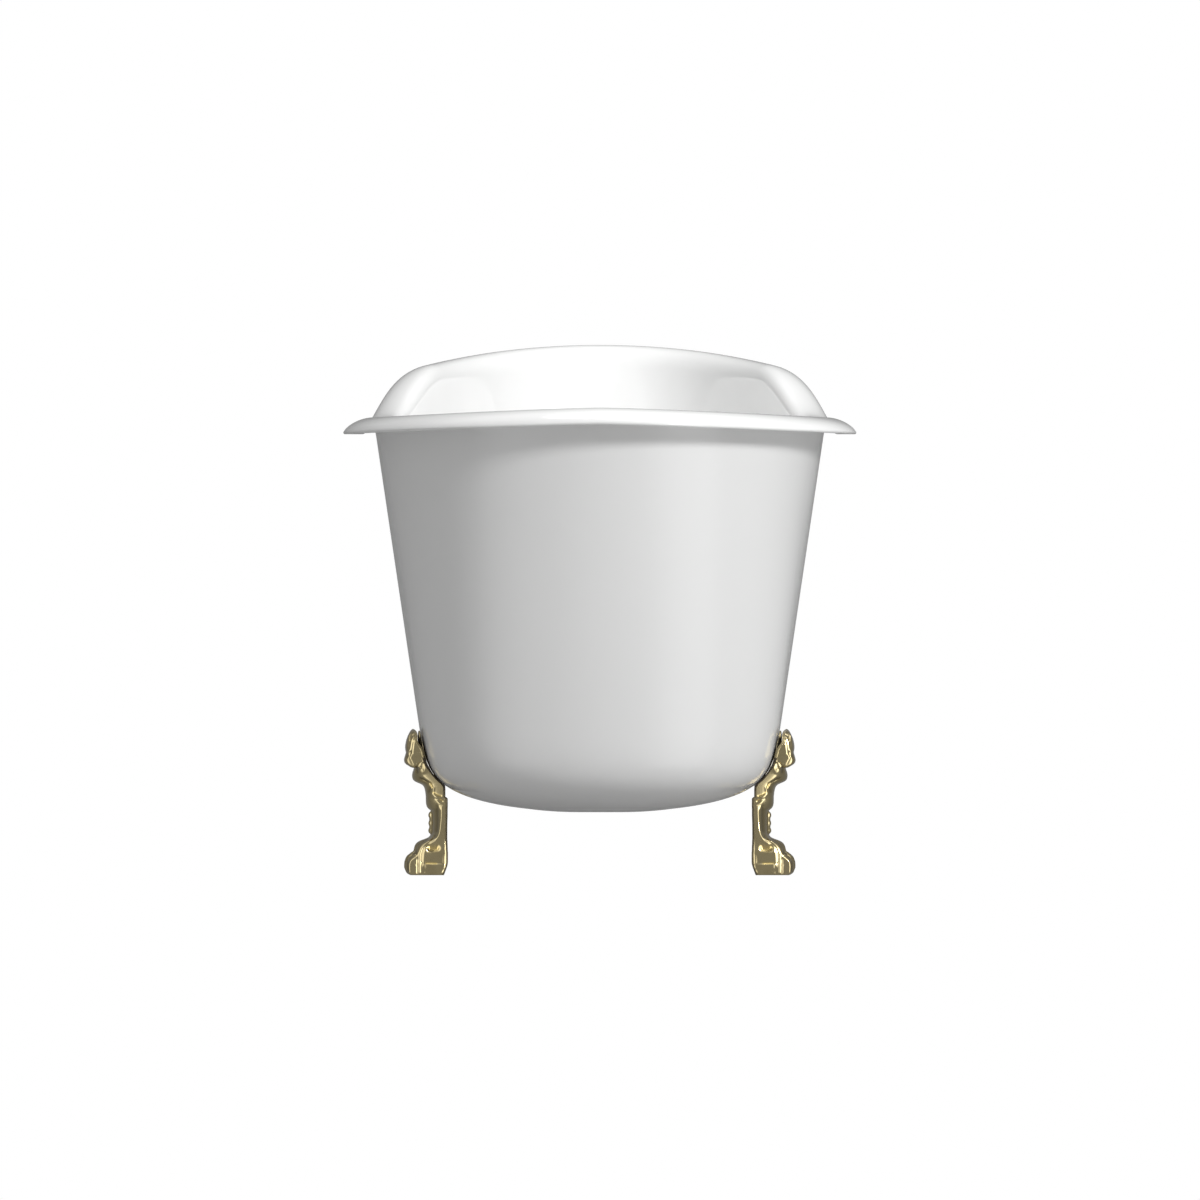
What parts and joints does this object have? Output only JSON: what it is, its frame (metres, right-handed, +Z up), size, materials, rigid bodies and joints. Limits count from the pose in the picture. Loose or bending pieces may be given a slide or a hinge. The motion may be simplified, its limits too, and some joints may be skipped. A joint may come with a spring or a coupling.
{
  "type": "cast iron bathtub",
  "caption": "Free-standing slipper bathtub of enamelled cast iron with a rolled rim, a raised backrest end and brass lion paw feet.",
  "frame": {"origin": "on the floor below the middle of the overall length and width", "axes": "+Z up, +Y towards the raised backrest end, +X to the right seen from the low foot end"},
  "size_m": [0.7614, 1.5484, 0.7875],
  "materials": {
    "enamel": "white gloss enamel over cast iron",
    "brass": "polished cast brass",
    "steel": "zinc plated"
  },
  "bodies": {
    "root": {"tub_shell": "enamel", "foot_front_right": "brass", "foot_front_left": "brass", "foot_rear_right": "brass", "foot_rear_left": "brass", "foot_studs": "steel", "foot_washers": "steel", "foot_nuts": "steel"}
  },
  "joints": []
}
